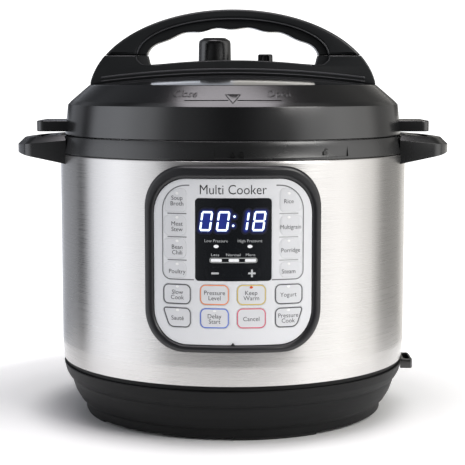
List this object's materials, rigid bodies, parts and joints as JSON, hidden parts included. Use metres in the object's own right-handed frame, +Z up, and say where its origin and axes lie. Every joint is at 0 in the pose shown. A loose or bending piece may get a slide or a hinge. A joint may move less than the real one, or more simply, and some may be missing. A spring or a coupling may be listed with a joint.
{
  "type": "electric pressure cooker",
  "caption": "Countertop electric pressure cooker: steel drum on a black base, bayonet lid with arched handle and steam valve, and a curved keypad with a lit display on the front.",
  "frame": {"origin": "centre of the bounding box on the table plane, midway between the front panel's face and the rear condensation collector", "axes": "+Z up along the pot, -Y to the control panel, +X to the right-hand side handle seen from the front"},
  "size_m": [0.34, 0.31, 0.316],
  "materials": {
    "black_satin_plastic": "satin moulded",
    "black_gloss_plastic": "semi-gloss moulded",
    "brushed_steel": "brushed",
    "polished_steel": "polished",
    "cast_aluminium": "cast, satin",
    "light_grey_film": "printed satin film",
    "display_lens": "gloss",
    "clear_silicone": "translucent matte",
    "clear_cup": "clear moulded",
    "circuit_board": "solder mask",
    "foot_rubber": "matte"
  },
  "bodies": {
    "base": {"base_housing": "black_satin_plastic", "bottom_cover": "black_satin_plastic", "bottom_screw_1": "polished_steel", "bottom_screw_2": "polished_steel", "bottom_screw_3": "polished_steel", "foot_1": "foot_rubber", "foot_2": "foot_rubber", "foot_3": "foot_rubber", "foot_4": "foot_rubber", "steel_shell": "brushed_steel", "collar": "black_satin_plastic", "base_handle_left": "black_satin_plastic", "base_handle_right": "black_satin_plastic", "spoon_holder_socket": "black_satin_plastic", "outer_pot": "polished_steel", "heating_plate": "cast_aluminium", "sensor_bracket": "polished_steel", "sensor_spring": "polished_steel", "power_board": "circuit_board", "control_board": "circuit_board", "display_module": "display_lens", "power_inlet": "black_satin_plastic", "panel_bezel": "black_satin_plastic", "panel_overlay": "light_grey_film", "display_window": "display_lens"},
    "inner_pot": {"inner_pot": "brushed_steel"},
    "lid_seal": {"sealing_ring": "clear_silicone"},
    "lid": {"lid_cover": "black_gloss_plastic", "lid_handle_base": "black_satin_plastic", "lid_handle_cover": "black_satin_plastic", "lid_handle_grip": "black_satin_plastic", "handle_screw_left": "polished_steel", "handle_screw_right": "polished_steel", "steam_release_pipe": "polished_steel", "anti_block_shield": "polished_steel", "inner_lid": "polished_steel", "sealing_ring_rack": "polished_steel"},
    "steam_release_knob": {"steam_release_knob": "black_satin_plastic"},
    "float_valve": {"float_valve": "cast_aluminium", "float_valve_seal": "clear_silicone"},
    "condensation_collector": {"condensation_collector": "clear_cup"},
    "temperature_sensor": {"temperature_sensor": "cast_aluminium"},
    "key_soup": {"key_soup": "light_grey_film"},
    "key_meat": {"key_meat": "light_grey_film"},
    "key_bean": {"key_bean": "light_grey_film"},
    "key_poultry": {"key_poultry": "light_grey_film"},
    "key_rice": {"key_rice": "light_grey_film"},
    "key_multigrain": {"key_multigrain": "light_grey_film"},
    "key_porridge": {"key_porridge": "light_grey_film"},
    "key_steam": {"key_steam": "light_grey_film"},
    "key_slow_cook": {"key_slow_cook": "light_grey_film"},
    "key_pressure_level": {"key_pressure_level": "light_grey_film"},
    "key_keep_warm": {"key_keep_warm": "light_grey_film"},
    "key_yogurt": {"key_yogurt": "light_grey_film"},
    "key_saute": {"key_saute": "light_grey_film"},
    "key_delay_start": {"key_delay_start": "light_grey_film"},
    "key_cancel": {"key_cancel": "light_grey_film"},
    "key_pressure_cook": {"key_pressure_cook": "light_grey_film"},
    "key_minus": {"key_minus": "display_lens"},
    "key_plus": {"key_plus": "display_lens"}
  },
  "joints": [
    {"name": "pot_lift", "type": "slide", "parent": "base", "child": "inner_pot", "axis": [0, 0, 1], "range_m": [0, 0.17]},
    {"name": "lid_lift", "type": "slide", "parent": "inner_pot", "child": "lid_seal", "axis": [0, 0, 1], "range_m": [0, 0.2]},
    {"name": "lid_turn", "type": "hinge", "parent": "lid_seal", "child": "lid", "pos_m": [0, -0.0105, 0.23], "axis": [0, 0, 1], "range_deg": [0, 30]},
    {"name": "steam_knob_turn", "type": "hinge", "parent": "lid", "child": "steam_release_knob", "pos_m": [-0.0149, 0.0345, 0.28], "axis": [0, 0, 1], "range_deg": [0, 55]},
    {"name": "float_valve_rise", "type": "slide", "parent": "lid", "child": "float_valve", "axis": [0, 0, 1], "range_m": [0, 0.005]},
    {"name": "collector_slide", "type": "slide", "parent": "base", "child": "condensation_collector", "axis": [0, 1, 0], "range_m": [0, 0.04]},
    {"name": "sensor_press", "type": "slide", "parent": "base", "child": "temperature_sensor", "axis": [0, 0, 1], "range_m": [-0.002, 0], "stiffness_N_per_m": 400, "springref_m": 0.003, "deforming": ["sensor_spring"]},
    {"name": "key_soup_press", "type": "slide", "parent": "base", "child": "key_soup", "axis": [0.2859, 0.9583, 0], "range_m": [0, 0.0005], "stiffness_N_per_m": 1500, "springref_m": -0.0002},
    {"name": "key_meat_press", "type": "slide", "parent": "base", "child": "key_meat", "axis": [0.2859, 0.9583, 0], "range_m": [0, 0.0005], "stiffness_N_per_m": 1500, "springref_m": -0.0002},
    {"name": "key_bean_press", "type": "slide", "parent": "base", "child": "key_bean", "axis": [0.2859, 0.9583, 0], "range_m": [0, 0.0005], "stiffness_N_per_m": 1500, "springref_m": -0.0002},
    {"name": "key_poultry_press", "type": "slide", "parent": "base", "child": "key_poultry", "axis": [0.2859, 0.9583, 0], "range_m": [0, 0.0005], "stiffness_N_per_m": 1500, "springref_m": -0.0002},
    {"name": "key_rice_press", "type": "slide", "parent": "base", "child": "key_rice", "axis": [-0.2859, 0.9583, 0], "range_m": [0, 0.0005], "stiffness_N_per_m": 1500, "springref_m": -0.0002},
    {"name": "key_multigrain_press", "type": "slide", "parent": "base", "child": "key_multigrain", "axis": [-0.2859, 0.9583, 0], "range_m": [0, 0.0005], "stiffness_N_per_m": 1500, "springref_m": -0.0002},
    {"name": "key_porridge_press", "type": "slide", "parent": "base", "child": "key_porridge", "axis": [-0.2859, 0.9583, 0], "range_m": [0, 0.0005], "stiffness_N_per_m": 1500, "springref_m": -0.0002},
    {"name": "key_steam_press", "type": "slide", "parent": "base", "child": "key_steam", "axis": [-0.2859, 0.9583, 0], "range_m": [0, 0.0005], "stiffness_N_per_m": 1500, "springref_m": -0.0002},
    {"name": "key_slow_cook_press", "type": "slide", "parent": "base", "child": "key_slow_cook", "axis": [0.2766, 0.961, 0], "range_m": [0, 0.0005], "stiffness_N_per_m": 1500, "springref_m": -0.0002},
    {"name": "key_pressure_level_press", "type": "slide", "parent": "base", "child": "key_pressure_level", "axis": [0.0912, 0.9958, 0], "range_m": [0, 0.0005], "stiffness_N_per_m": 1500, "springref_m": -0.0002},
    {"name": "key_keep_warm_press", "type": "slide", "parent": "base", "child": "key_keep_warm", "axis": [-0.0912, 0.9958, 0], "range_m": [0, 0.0005], "stiffness_N_per_m": 1500, "springref_m": -0.0002},
    {"name": "key_yogurt_press", "type": "slide", "parent": "base", "child": "key_yogurt", "axis": [-0.2766, 0.961, 0], "range_m": [0, 0.0005], "stiffness_N_per_m": 1500, "springref_m": -0.0002},
    {"name": "key_saute_press", "type": "slide", "parent": "base", "child": "key_saute", "axis": [0.2766, 0.961, 0], "range_m": [0, 0.0005], "stiffness_N_per_m": 1500, "springref_m": -0.0002},
    {"name": "key_delay_start_press", "type": "slide", "parent": "base", "child": "key_delay_start", "axis": [0.0912, 0.9958, 0], "range_m": [0, 0.0005], "stiffness_N_per_m": 1500, "springref_m": -0.0002},
    {"name": "key_cancel_press", "type": "slide", "parent": "base", "child": "key_cancel", "axis": [-0.0912, 0.9958, 0], "range_m": [0, 0.0005], "stiffness_N_per_m": 1500, "springref_m": -0.0002},
    {"name": "key_pressure_cook_press", "type": "slide", "parent": "base", "child": "key_pressure_cook", "axis": [-0.2766, 0.961, 0], "range_m": [0, 0.0005], "stiffness_N_per_m": 1500, "springref_m": -0.0002},
    {"name": "key_minus_press", "type": "slide", "parent": "base", "child": "key_minus", "axis": [0.0905, 0.9959, 0], "range_m": [0, 0.0005], "stiffness_N_per_m": 1500, "springref_m": -0.0002},
    {"name": "key_plus_press", "type": "slide", "parent": "base", "child": "key_plus", "axis": [-0.0905, 0.9959, 0], "range_m": [0, 0.0005], "stiffness_N_per_m": 1500, "springref_m": -0.0002}
  ]
}
